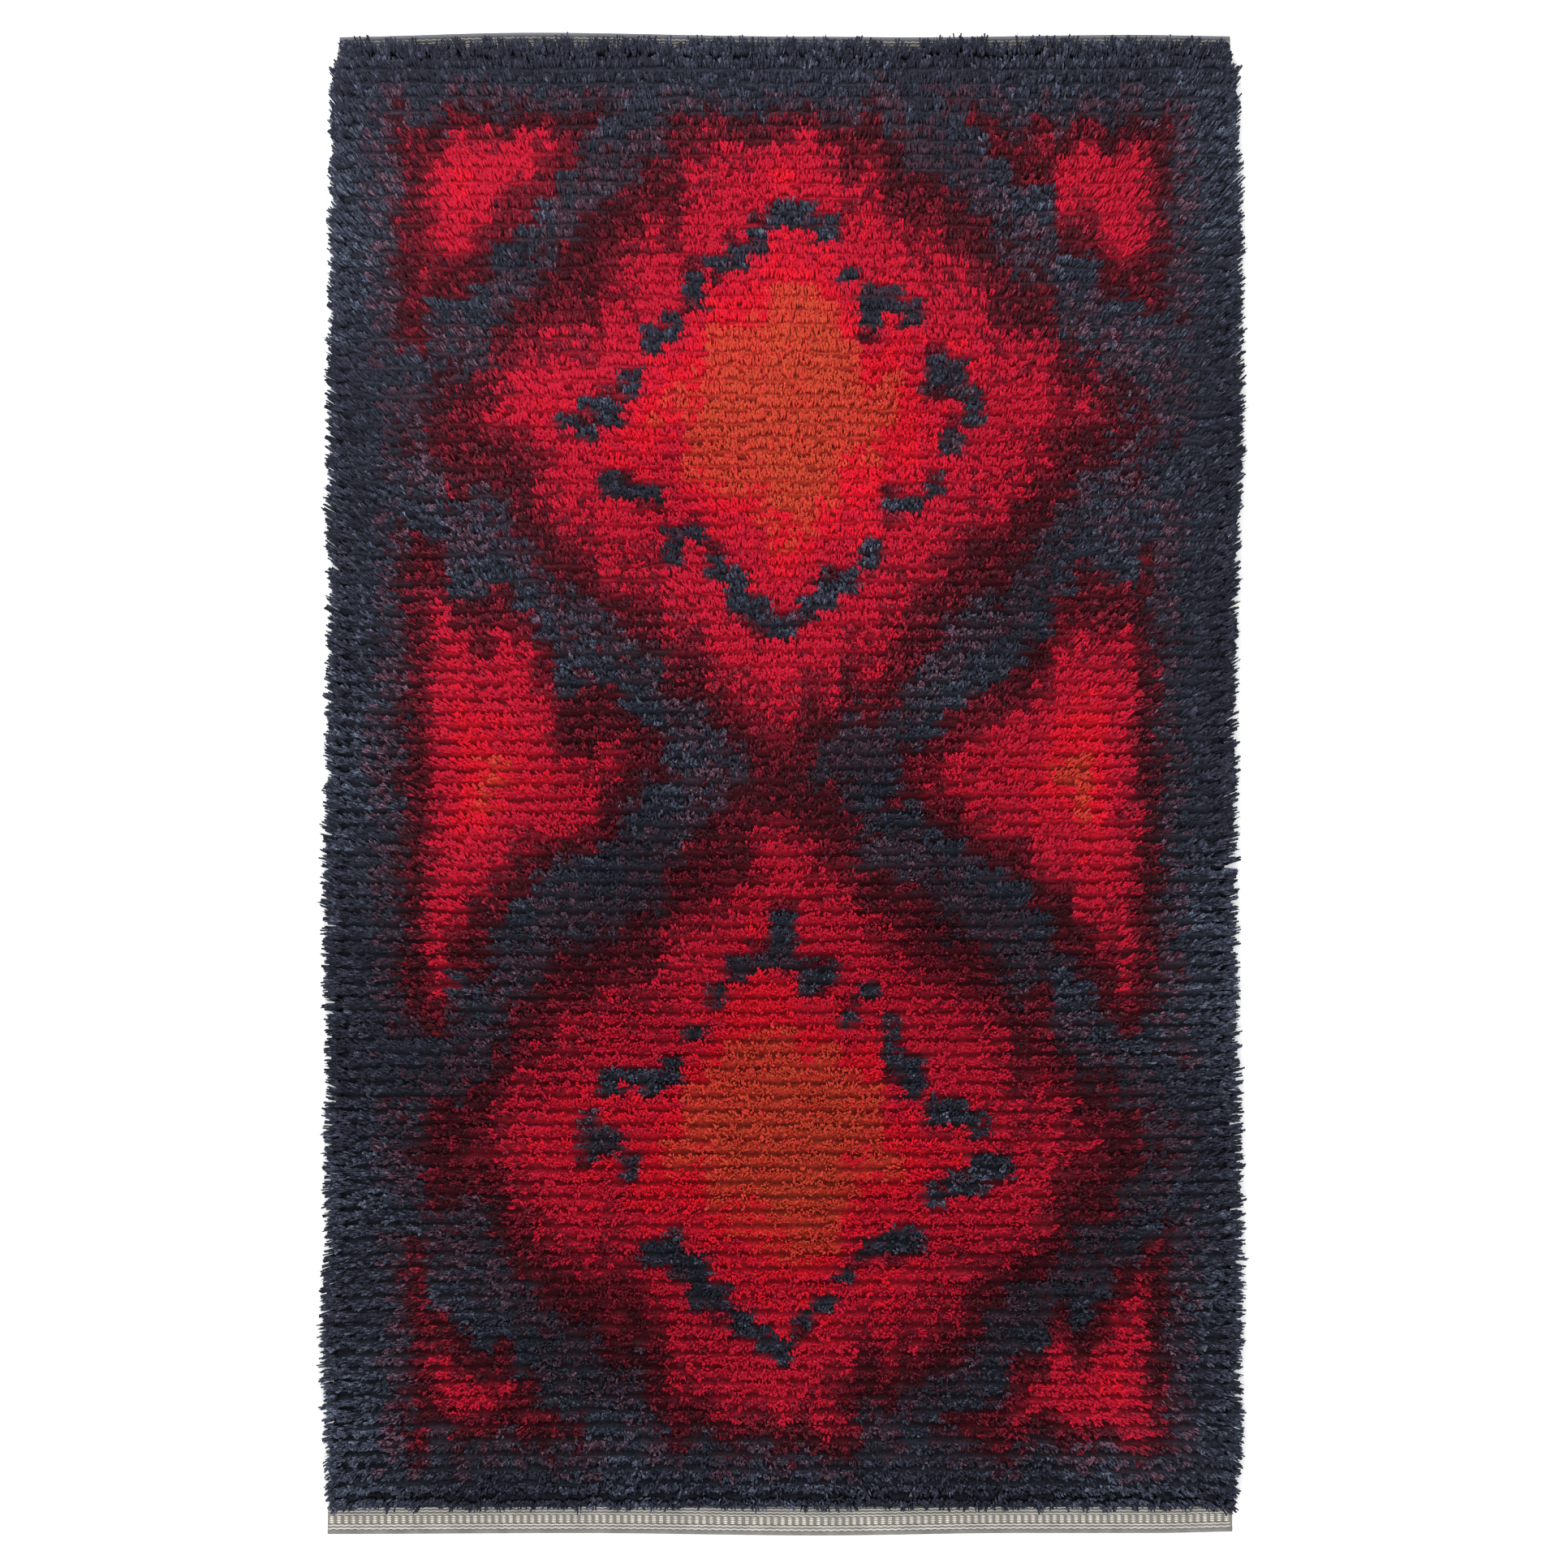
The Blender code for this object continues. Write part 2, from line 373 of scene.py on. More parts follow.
def grow(name, start_mesh, tree, values):
    """Runs a geometry tree on a mesh, and returns what it grows as a plain mesh."""
    holder = bpy.data.objects.new(name, start_mesh)
    bpy.context.scene.collection.objects.link(holder)
    modifier = holder.modifiers.new(tree.name, "NODES")
    modifier.node_group = tree
    for item in tree.interface.items_tree:
        if item.in_out == "INPUT" and item.name in values:
            modifier[item.identifier] = values[item.name]
    bpy.context.view_layer.update()
    evaluated = holder.evaluated_get(bpy.context.evaluated_depsgraph_get())
    grown = bpy.data.meshes.new_from_object(evaluated)
    grown.name = name
    holder.modifiers.remove(modifier)
    bpy.data.objects.remove(holder)
    bpy.data.meshes.remove(start_mesh)
    return grown


def named(tree, name, data_type="FLOAT"):
    """An attribute of the mesh, read by its name."""
    wires = {"Name": name}
    return first_output(add_node(tree, "GeometryNodeInputNamedAttribute", wires, data_type=data_type))


def store(tree, geometry, name, value, data_type="FLOAT", domain="POINT"):
    """The same geometry with a value kept on it as a named attribute."""
    wires = {"Geometry": geometry, "Name": name, "Value": value}
    settings = {"data_type": data_type, "domain": domain}
    return first_output(add_node(tree, "GeometryNodeStoreNamedAttribute", wires, **settings))


def between_numbers(tree, share, low, high):
    """A number between two others, by a share of the way."""
    return maths(tree, "ADD", low, maths(tree, "MULTIPLY", share, high - low))


def finish_tree(tree, mesh, material, result):
    """The tree's last nodes: plain geometry, smooth, in its yarn."""
    plain = first_output(add_node(tree, "GeometryNodeRealizeInstances", {"Geometry": mesh}))
    smooth = first_output(add_node(tree, "GeometryNodeSetShadeSmooth", {"Geometry": plain}))
    dressed = add_node(tree, "GeometryNodeSetMaterial", {"Geometry": smooth, "Material": material})
    tree.links.new(dressed.outputs["Geometry"], result.inputs["Mesh"])


def move(tree, geometry, offset):
    """The same geometry with each point moved by a vector of its own."""
    wires = {"Geometry": geometry, "Offset": offset}
    return add_node(tree, "GeometryNodeSetPosition", wires).outputs["Geometry"]


def make_cord_tree():
    """Lines across the rug become cords that wave with the warps, each of its own thickness."""
    sizes = [("Warp Pitch", "NodeSocketFloat"), ("Wave", "NodeSocketFloat"), ("Yarn", "NodeSocketMaterial")]
    tree, given, result = new_tree("band_cords", sizes)
    lines = first_output(add_node(tree, "GeometryNodeMeshToCurve", {"Mesh": given.outputs["Mesh"]}))
    place = add_node(tree, "GeometryNodeInputPosition").outputs["Position"]
    across = add_node(tree, "ShaderNodeSeparateXYZ", {"Vector": place}).outputs["X"]
    turns = maths(tree, "DIVIDE", across, given.outputs["Warp Pitch"])
    swing = maths(tree, "SINE", maths(tree, "MULTIPLY", turns, 2 * math.pi))
    swing = maths(tree, "MULTIPLY", swing, given.outputs["Wave"])
    offset = add_node(tree, "ShaderNodeCombineXYZ", {"Y": swing}).outputs["Vector"]
    waved = move(tree, lines, offset)
    round_wires = {"Resolution": CORD_SIDES, "Radius": 0.5}
    section = first_output(add_node(tree, "GeometryNodeCurvePrimitiveCircle", round_wires, mode="RADIUS"))
    wires = {"Curve": waved, "Profile Curve": section, "Scale": named(tree, "thick"), "Fill Caps": True}
    cords = add_node(tree, "GeometryNodeCurveToMesh", wires).outputs["Mesh"]
    finish_tree(tree, cords, given.outputs["Yarn"], result)
    return tree


def make_float_tree():
    """Each point becomes a short float: a fat little bar of yarn that dips at both ends."""
    sizes = [("Long", "NodeSocketFloat"), ("Thick", "NodeSocketFloat"), ("Yarn", "NodeSocketMaterial")]
    tree, given, result = new_tree("ladder_floats", sizes)
    points = first_output(add_node(tree, "GeometryNodeMeshToPoints", {"Mesh": given.outputs["Mesh"]}))
    half = maths(tree, "MULTIPLY", given.outputs["Long"], 0.5)
    minus_half = maths(tree, "MULTIPLY", half, -1.0)
    left = add_node(tree, "ShaderNodeCombineXYZ", {"X": minus_half}).outputs["Vector"]
    right = add_node(tree, "ShaderNodeCombineXYZ", {"X": half}).outputs["Vector"]
    line = first_output(add_node(tree, "GeometryNodeCurvePrimitiveLine", {"Start": left, "End": right}))
    line = first_output(add_node(tree, "GeometryNodeResampleCurve", {"Curve": line, "Count": 3}))
    along = add_node(tree, "GeometryNodeSplineParameter").outputs["Factor"]
    hump = maths(tree, "SINE", maths(tree, "MULTIPLY", along, math.pi))
    share = between_numbers(tree, hump, FLOAT_END_SHARE, 1.0)
    thick = maths(tree, "MULTIPLY", given.outputs["Thick"], share)
    lift = maths(tree, "MULTIPLY", hump, FLOAT_LIFT)
    offset = add_node(tree, "ShaderNodeCombineXYZ", {"Z": lift}).outputs["Vector"]
    bowed = move(tree, line, offset)
    round_wires = {"Resolution": CORD_SIDES, "Radius": 0.5}
    section = first_output(add_node(tree, "GeometryNodeCurvePrimitiveCircle", round_wires, mode="RADIUS"))
    wires = {"Curve": bowed, "Profile Curve": section, "Scale": thick, "Fill Caps": True}
    bar = add_node(tree, "GeometryNodeCurveToMesh", wires).outputs["Mesh"]
    wires = {"Points": points, "Instance": bar}
    bars = first_output(add_node(tree, "GeometryNodeInstanceOnPoints", wires))
    finish_tree(tree, bars, given.outputs["Yarn"], result)
    return tree


def band_sides(end, margin):
    """How far a band reaches to the left and to the right of the middle line."""
    y_end = math.copysign(CLOTH_LENGTH / 2, 1 if end == "far" else -1)
    return [float(read_table(CLOTH_SIDES, y_end, column)) - margin for column in (1, 2)]


def cord_lines(end, cords):
    """The middle lines of some of a band's cords, each point with its cord's thickness."""
    points, edges, thick = [], [], []
    left, right = band_sides(end, CORD_MARGIN)
    steps = round((left + right) / (WARP_PITCH / 4))
    x = (np.arange(steps + 1) - round(left / (WARP_PITCH / 4))) * WARP_PITCH / 4
    for middle, thickness, _ in cords:
        start = len(points)
        for px, py in zip(x, end_line(end, x, middle)):
            points.append((px, py, CORD_HEIGHT))
        edges += [(start + step, start + step + 1) for step in range(steps)]
        thick += [thickness] * (steps + 1)
    mesh = bpy.data.meshes.new("cord_lines")
    mesh.from_pydata(points, edges, [])
    mesh.attributes.new("thick", "FLOAT", "POINT").data.foreach_set("value", thick)
    return mesh


def ladder_points(end):
    """A stack of floats at every warp of one band."""
    left, right = [round(side / WARP_PITCH) for side in band_sides(end, LADDER_MARGIN)]
    points = []
    for warp in range(-left, right + 1):
        x = warp * WARP_PITCH
        for step in range(LADDER_FLOATS):
            inwards = LADDER_START + FLOAT_PITCH * (step + 0.5)
            points.append((x, float(end_line(end, x, inwards)), CORD_HEIGHT))
    mesh = bpy.data.meshes.new("ladder_points")
    mesh.from_pydata(points, [], [])
    return mesh


cord_tree = make_cord_tree()
float_tree = make_float_tree()
# The far band's yarns are all darkened as painted shade
for end, shown, brightness_and_painted_shade in (("near", len(BAND_CORDS), 1.0), ("far", FAR_CORDS_SHOWN, FAR_PAINTED_SHADE)):
    for yarn in BAND_YARNS:
        cords = [cord for cord in BAND_CORDS[:shown] if cord[2] == yarn]
        name = end + "_" + yarn + "_cords"
        cord_yarn = make_band_material(name + "_yarn", yarn, brightness_and_painted_shade)
        sizes = {"Warp Pitch": WARP_PITCH, "Wave": CORD_WAVE, "Yarn": cord_yarn}
        mesh = grow(name, cord_lines(end, cords), cord_tree, sizes)
        add_piece(name, mesh, "ground_weave")
    float_yarn = make_band_material(end + "_ladder_yarn", "cream", brightness_and_painted_shade * LADDER_STRENGTH)
    sizes = {"Long": FLOAT_LONG, "Thick": FLOAT_THICK, "Yarn": float_yarn}
    mesh = grow(end + "_ladder", ladder_points(end), float_tree, sizes)
    add_piece(end + "_ladder", mesh, "ground_weave")


# Knot rows
# Wool knots sit on the ground in rows, a knot on every pair of warps, beaten down by the wefts. A
# chart of two tall lozenges and parts of others, between navy and plum, sets each knot's yarns.

ROWS = 103
FIRST_ROW = -0.775
LAST_ROW = 0.786
KNOTS = 126
KNOT_FLOOR = 0.0035
BED_TOP = 0.0168
BED_RIM_TOP = 0.0085
BED_FALL = 0.022
BED_FAR_STEEPNESS = 3.0
BED_HALF_WIDTH = 0.485
BED_GROOVE = 0.0060
BED_THINNEST = 0.001
# How much of the chart's colour the bed keeps on its ridges and in its grooves: painted shade deep in the
# pile
RIDGE_PAINTED_SHADE = 0.85
GROOVE_PAINTED_SHADE = 0.36
ROW_WAVE = 0.0012
ROW_WAVE_END = 0.79

# How far the pile's sides stand from the middle line: (along the rug, left, right)
PILE_SIDES = [
    (-0.790, 0.4876, 0.4869),
    (-0.590, 0.4880, 0.4875),
    (-0.400, 0.4846, 0.4863),
    (-0.210, 0.4843, 0.4810),
    (-0.110, 0.4862, 0.4802),
    (0.080, 0.4841, 0.4797),
    (0.180, 0.4817, 0.4819),
    (0.380, 0.4824, 0.4874),
    (0.570, 0.4802, 0.4861),
    (0.760, 0.4821, 0.4852),
    (0.800, 0.4720, 0.4750),
]
SIDE_KNOT_INSET = 0.0021

YARN_COLOURS = {
    "ink": (0.027, 0.031, 0.046),
    "midnight": (0.036, 0.042, 0.063),
    "slate": (0.060, 0.069, 0.101),
    "mauve": (0.080, 0.041, 0.061),
    "garnet": (0.062, 0.008, 0.014),
    "wine": (0.200, 0.010, 0.024),
    "crimson": (0.53, 0.010, 0.037),
    "scarlet": (0.69, 0.009, 0.029),
    "rust": (0.60, 0.050, 0.032),
    "amber": (0.56, 0.062, 0.030),
}

# What is knotted from each tone upwards, as shares of the yarns, from the border to the lozenges' hearts
RECIPES = [
    (0.00, {"ink": 0.50, "midnight": 0.34, "slate": 0.16}),
    (0.12, {"ink": 0.42, "midnight": 0.16, "mauve": 0.42}),
    (0.20, {"ink": 0.36, "mauve": 0.56, "garnet": 0.08}),
    (0.28, {"ink": 0.20, "mauve": 0.20, "garnet": 0.60}),
    (0.35, {"garnet": 0.64, "wine": 0.36}),
    (0.43, {"wine": 0.84, "garnet": 0.16}),
    (0.50, {"wine": 0.50, "crimson": 0.50}),
    (0.56, {"crimson": 0.80, "wine": 0.20}),
    (0.61, {"crimson": 1.0}),
    (0.67, {"crimson": 0.60, "scarlet": 0.40}),
    (0.73, {"scarlet": 1.0}),
    (0.81, {"scarlet": 0.45, "rust": 0.55}),
    (0.86, {"rust": 0.90, "amber": 0.10}),
    (0.91, {"rust": 0.30, "amber": 0.70}),
]

# The tone of each ring, read from a lozenge's heart outwards: (distance, tone)
RINGS = [
    (0.00, 0.97), (0.22, 0.95), (0.24, 0.88), (0.36, 0.87), (0.38, 0.77), (0.47, 0.70), (0.53, 0.70),
    (0.55, 0.10), (0.61, 0.10), (0.63, 0.66), (0.74, 0.64), (0.76, 0.58), (0.86, 0.53), (0.93, 0.47),
    (0.95, 0.40), (1.06, 0.36), (1.08, 0.25), (1.22, 0.20), (1.24, 0.05), (1.30, 0.05),
    (1.32, 0.38), (1.42, 0.44), (1.46, 0.58), (1.58, 0.64), (1.64, 0.69), (1.74, 0.75),
    (1.76, 0.88), (1.88, 0.90), (1.90, 0.95), (2.10, 0.97),
]
LOZENGE_LENGTH = 0.78
LOZENGE_HALF_WIDTH = 0.38
STEP_WIDTH = 0.0231
STREAK_LENGTH = 0.040
CHART_HALF_WIDTH = 0.486
CHART_HALF_LENGTH = 0.782
BORDER_ACROSS = 0.080
BORDER_ALONG = 0.075

# The highest tone near the rim, read inwards in border widths: (distance, tone)
BORDER = [
    (0.55, 0.05), (0.60, 0.16), (0.90, 0.24), (0.95, 0.32),
    (1.25, 0.42), (1.35, 0.54), (1.70, 0.66), (2.20, 1.00),
]


def soft_noise(x, y, seed):
    """Smooth random hills between -1 and 1 over a lattice of unit squares."""
    lattice = np.random.RandomState(seed).rand(64, 64)
    column = np.floor(x).astype(int)
    row = np.floor(y).astype(int)
    right = soft_turn(x - column)
    up = soft_turn(y - row)
    low = lattice[column % 64, row % 64] * (1 - right) + lattice[(column + 1) % 64, row % 64] * right
    row = row + 1
    high = lattice[column % 64, row % 64] * (1 - right) + lattice[(column + 1) % 64, row % 64] * right
    return (low * (1 - up) + high * up) * 2 - 1


def chart_tone(x, y):
    """The chart: 0 is the navy border, 1 a lozenge's heart. Edges step by knots and streak along it."""
    step = np.floor(x / STEP_WIDTH + 0.5)
    streak = soft_noise(step * 0.9 + 40.37, y / 0.12 + 3, 5)
    patch = soft_noise(x / 0.12 + 7, y / 0.21 + 9, 8)
    fleck = soft_noise(x / 0.03 + 1, y / 0.05 + 2, 31)
    shifted = y + STREAK_LENGTH * streak + LOZENGE_LENGTH / 2
    from_heart = np.abs((shifted + LOZENGE_LENGTH / 2) % LOZENGE_LENGTH - LOZENGE_LENGTH / 2)
    distance = np.abs(step) * STEP_WIDTH / LOZENGE_HALF_WIDTH + from_heart * 2 / LOZENGE_LENGTH
    tone = np.interp(distance + 0.05 * patch, *zip(*RINGS)) + 0.035 * fleck + 0.035 * patch
    from_side = (CHART_HALF_WIDTH - np.abs(x)) / BORDER_ACROSS
    from_end = (CHART_HALF_LENGTH - np.abs(y + STREAK_LENGTH / 2 * streak)) / BORDER_ALONG
    border = np.minimum(from_side, from_end) + 0.16 * patch + 0.10 * fleck
    tone = np.minimum(tone, np.interp(border, *zip(*BORDER)))
    return np.clip(tone, 0.0, 1.0)


def recipe_shares(tone):
    """The share of each yarn at each tone."""
    shares = np.zeros(tone.shape + (len(YARN_COLOURS),))
    for start, recipe in RECIPES:
        shares[tone >= start] = [recipe.get(yarn, 0.0) for yarn in YARN_COLOURS]
    return shares


def row_place(u, y):
    """Where a point lies that is a share u of the way out along a row, with the rug's sides and bows."""
    reach = side_reach(PILE_SIDES, u, y) - SIDE_KNOT_INSET
    x = u * reach
    calm = np.minimum(np.abs(y) / ROW_WAVE_END, 1.0) ** 4
    return x, y + ROW_WAVE * np.sin(6.0 * x + 5.0 * y) * (1.0 - calm)


def make_knot_row_mesh():
    """A closed low slab, ridged along each row, that carries the chart's colours, darkened as painted
    shade, most in the grooves.
    """
    lines = 2 * ROWS + 1
    grid = bmesh.new()
    bmesh.ops.create_grid(grid, x_segments=KNOTS // 2, y_segments=lines - 1, size=1.0)
    layer = grid.verts.layers.float_color.new("knot_colour_painted_shade")
    pitch = (LAST_ROW - FIRST_ROW) / (ROWS - 1)
    points = sorted(grid.verts, key=lambda point: point.index)
    u = np.array([point.co.x for point in points])
    line = np.array([round((point.co.y + 1.0) * (lines - 1) / 2) for point in points])
    y = FIRST_ROW + (line - 1) * pitch / 2
    x, y = row_place(u, y)
    colours = recipe_shares(chart_tone(x, y)) @ np.array(list(YARN_COLOURS.values()))
    to_end = np.minimum(BED_FAR_STEEPNESS * (LAST_ROW - y), y - FIRST_ROW)
    to_rim = np.minimum((1.0 - np.abs(u)) * BED_HALF_WIDTH, to_end)
    crest = BED_RIM_TOP + (BED_TOP - BED_RIM_TOP) * soft_turn(to_rim / BED_FALL)
    is_ridge = line % 2 == 1
    heights = np.where(is_ridge, crest, np.maximum(crest - BED_GROOVE, KNOT_FLOOR + BED_THINNEST))
    # Painted shade: the bed is darkened, the most in the grooves between rows
    colours = colours * np.where(is_ridge, RIDGE_PAINTED_SHADE, GROOVE_PAINTED_SHADE)[:, None]
    for point, px, py, pz, colour in zip(points, x, y, heights, colours):
        point.co = (px, py, pz)
        point[layer] = (*colour, 1.0)
    rim = [edge for edge in grid.edges if edge.is_boundary]
    dropped = bmesh.ops.extrude_edge_only(grid, edges=rim)["geom"]
    for point in (item for item in dropped if isinstance(item, bmesh.types.BMVert)):
        point.co.z = KNOT_FLOOR
    bmesh.ops.contextual_create(grid, geom=[edge for edge in grid.edges if edge.is_boundary])
    bmesh.ops.recalc_face_normals(grid, faces=grid.faces)
    mesh = bpy.data.meshes.new("knot_rows")
    grid.to_mesh(mesh)
    grid.free()
    return mesh


def make_knot_material():
    """The knots' yarn colours, darkened as painted shade deep in the pile, with nearly black fibre flecks
    of painted shade.
    """
    material, tree, shader = new_material("knotted_wool_painted_shade", 0.95)
    # Painted shade: fibre flecks that fall nearly to black
    flecks = noise(tree, object_place(tree), 330.0, 2.0)
    depth = between(tree, flecks, 0.40, 0.58, 0.50, 1.0)
    colour = mix_colour(tree, depth, (0.003, 0.002, 0.003, 1), colour_attribute(tree, "knot_colour_painted_shade"))
    tree.links.new(colour, shader.inputs["Base Color"])
    return material


def mark_knot_backs(mesh):
    """The backs of the knots show below the cloth in the chart's colours."""
    places = np.array([point.co[:2] for point in mesh.vertices])
    colours = recipe_shares(chart_tone(places[:, 0], places[:, 1])) @ np.array(list(YARN_COLOURS.values()))
    colours = np.column_stack([colours, np.ones(len(colours))])
    mesh.attributes.new("knot_back", "FLOAT_COLOR", "POINT").data.foreach_set("color", colours.ravel())


mark_knot_backs(cloth_mesh)
knot_mesh = make_knot_row_mesh()
knot_mesh.materials.append(make_knot_material())
add_piece("knot_rows", knot_mesh, "pile_wool", "pile")


# Yarn ends
# Every knot holds bundles of two-ply wool, whose cut ends are the pile. It lies outwards at the sides
# and towards the far end, but leans back at the near end. Each yarn's ends are one joined piece.

END_LENGTH = 0.0238
END_THICK = 0.0029
UPRIGHT_THICK = 1.16
FLAT_THINNING = 0.60
FLATTEST = 0.93
ROOT_HEIGHT = 0.0045
BUNDLES_PER_KNOT = 2.6
ENDS_PER_BUNDLE = 6
BUNDLE_WIDTH = 0.0060
KNOT_WIDTH = 0.0074
KNOT_DEPTH = 0.0062
UPRIGHT_LEAN = 0.30
UPRIGHT_SPREAD = 0.45
SIDE_KNOT_DEPTH = 0.0150
LAST_KNOT_DEPTH = 0.0130
LAST_LEAN_BACK = 0.10
LEAN_DRIFT = 0.10
FAN_ALONG = 0.06
STRAY_ACROSS = 0.08
STRAY_ALONG = 0.09
END_STRAY = 0.16
SIDE_STRAY = 0.4
ROW_WOBBLE = 0.0014
ROW_SHADE = 0.06
SHADES = 48

# Painted light gives more pale tips towards the near end: where that starts, how long it takes, and by how
# much
NEAR_PAINTED_LIGHT_START = -0.60
NEAR_PAINTED_LIGHT_RUN = 0.12
NEAR_PAINTED_LIGHT = 0.14

# The pile is shorter at the rug's four corners: where that starts, how long it takes, and by how much
CORNER_ACROSS = 0.450
CORNER_ALONG = 0.750
CORNER_RUN = 0.030
CORNER_TRIM = 0.30

YARN_SLOTS = {
    "ink": "yarn_navy",
    "midnight": "yarn_navy",
    "slate": "yarn_navy",
    "mauve": "yarn_plum",
    "garnet": "yarn_wine",
    "wine": "yarn_wine",
    "crimson": "yarn_crimson",
    "scarlet": "yarn_scarlet",
    "rust": "yarn_rust",
    "amber": "yarn_rust",
}

# How far the nap leans along the rug, as a share of an end's length: (along the rug, lean)
NAP_ALONG = [
    (-0.790, -0.30),
    (-0.750, -0.25),
    (-0.640, -0.10),
    (-0.300, 0.10),
    (0.000, 0.26),
    (0.350, 0.40),
    (0.600, 0.48),
    (0.740, 0.54),
    (0.780, 0.58),
    (0.786, 0.66),
]

# How far the nap leans outwards, read from the middle line: (across, lean)
NAP_ACROSS = [(0.00, 0.00), (0.18, 0.06), (0.34, 0.24), (0.44, 0.44), (0.49, 0.66)]


def one_end(tree):
    """One unit of yarn end with four faces: its root is an edge along X, its cut an edge along Y."""
    wires = {"Vertices": 3, "Radius Top": 0.0, "Radius Bottom": 0.5, "Depth": 1.0}
    end = add_node(tree, "GeometryNodeMeshCone", wires, fill_type="NGON").outputs["Mesh"]
    index = first_output(add_node(tree, "GeometryNodeInputIndex"))
    odd = maths(tree, "MODULO", index, 2.0)
    end = store(tree, end, "along", maths(tree, "GREATER_THAN", index, 1.5))
    along = named(tree, "along")
    quarter = maths(tree, "MULTIPLY", along, 0.25)
    end = store(tree, end, "around", maths(tree, "ADD", quarter, maths(tree, "MULTIPLY", odd, 0.5)))
    side = maths(tree, "SUBTRACT", odd, 0.5)
    at_root = maths(tree, "MULTIPLY", side, maths(tree, "SUBTRACT", 1.0, along))
    at_cut = maths(tree, "MULTIPLY", side, along)
    place = first_output(add_node(tree, "ShaderNodeCombineXYZ", {"X": at_root, "Y": at_cut, "Z": along}))
    wires = {"Geometry": end, "Position": place}
    return add_node(tree, "GeometryNodeSetPosition", wires).outputs["Geometry"]


def make_yarn_tree():
    """Each point becomes a bundle of cut ends, each of its own length and shade, leaning with the nap."""
    sizes = [
        ("Length", "NodeSocketFloat"),
        ("Thick", "NodeSocketFloat"),
        ("Ends", "NodeSocketInt"),
        ("Bundle Width", "NodeSocketFloat"),
        ("Seed", "NodeSocketInt"),
        ("Yarn", "NodeSocketMaterial"),
    ]
    tree, given, result = new_tree("cut_yarn_ends", sizes)
    bundles = first_output(add_node(tree, "GeometryNodeMeshToPoints", {"Mesh": given.outputs["Mesh"]}))
    wires = {"Geometry": bundles, "Amount": given.outputs["Ends"]}
    ends = add_node(tree, "GeometryNodeDuplicateElements", wires, domain="POINT").outputs["Geometry"]

    def chance(number, low, high):
        """A random vector for each end, between two corners."""
        seed = maths(tree, "ADD", given.outputs["Seed"], float(number))
        wires = {"Min": low, "Max": high, "Seed": seed}
        return first_output(add_node(tree, "FunctionNodeRandomValue", wires, data_type="FLOAT_VECTOR"))

    half_width = maths(tree, "MULTIPLY", given.outputs["Bundle Width"], 0.5)
    shift = vector_maths(tree, "SCALE", chance(1, (-1, -0.60, 0), (1, 0.60, 0)), half_width)
    ends = move(tree, ends, shift)
    stray = vector_maths(tree, "SCALE", chance(2, (-1, -0.65, 0), (1, 0.65, 0)), named(tree, "stray"))
    lean = vector_maths(tree, "ADD", named(tree, "nap", "FLOAT_VECTOR"), stray)
    odds = add_node(tree, "ShaderNodeSeparateXYZ", {"Vector": chance(3, (0.90, -0.30, 0), (1.07, 0.30, 1))})
    long = maths(tree, "MULTIPLY", given.outputs["Length"], odds.outputs["X"])
    long = maths(tree, "MULTIPLY", long, named(tree, "tall"))
    shade = maths(tree, "ADD", named(tree, "shade"), odds.outputs["Y"])
    shade = between(tree, shade, 0.0, 1.0, 0.0, SHADES - 1.0)
    shade = maths(tree, "DIVIDE", maths(tree, "ADD", maths(tree, "FLOOR", shade), 0.5), float(SHADES))
    ends = store(tree, ends, "shade", shade)
    lean_size = add_node(tree, "ShaderNodeVectorMath", {0: lean}, operation="LENGTH").outputs["Value"]
    flat = maths(tree, "MINIMUM", lean_size, FLATTEST)
    upright = maths(tree, "SQRT", maths(tree, "SUBTRACT", 1.0, maths(tree, "MULTIPLY", flat, flat)))
    rise = add_node(tree, "ShaderNodeCombineXYZ", {"Z": upright}).outputs["Vector"]
    twist = maths(tree, "MULTIPLY", odds.outputs["Z"], 2 * math.pi)
    twist = add_node(tree, "ShaderNodeCombineXYZ", {"Z": twist}).outputs["Vector"]
    twist = first_output(add_node(tree, "FunctionNodeEulerToRotation", {"Euler": twist}))
    wires = {"Rotation": twist, "Vector": vector_maths(tree, "ADD", lean, rise)}
    turn = first_output(add_node(tree, "FunctionNodeAlignRotationToVector", wires, axis="Z"))
    thick = maths(tree, "SUBTRACT", UPRIGHT_THICK, maths(tree, "MULTIPLY", flat, FLAT_THINNING))
    thick = maths(tree, "MULTIPLY", given.outputs["Thick"], thick)
    size = first_output(add_node(tree, "ShaderNodeCombineXYZ", {"X": thick, "Y": thick, "Z": long}))
    wires = {"Points": ends, "Instance": one_end(tree), "Rotation": turn, "Scale": size}
    strands = first_output(add_node(tree, "GeometryNodeInstanceOnPoints", wires))
    strands = first_output(add_node(tree, "GeometryNodeRealizeInstances", {"Geometry": strands}))
    around = named(tree, "around")
    cell = maths(tree, "MULTIPLY", maths(tree, "SUBTRACT", around, 0.375), 0.9 / SHADES)
    across_map = maths(tree, "ADD", named(tree, "shade"), cell)
    up_map = between_numbers(tree, named(tree, "along"), 0.03, 0.97)
    chart = add_node(tree, "ShaderNodeCombineXYZ", {"X": across_map, "Y": up_map}).outputs["Vector"]
    strands = store(tree, strands, "OFBake", chart, "FLOAT2", "CORNER")
    for spent in ("nap", "tall", "stray"):
        wires = {"Geometry": strands, "Name": spent}
        strands = first_output(add_node(tree, "GeometryNodeRemoveAttribute", wires))
    finish_tree(tree, strands, given.outputs["Yarn"], result)
    return tree


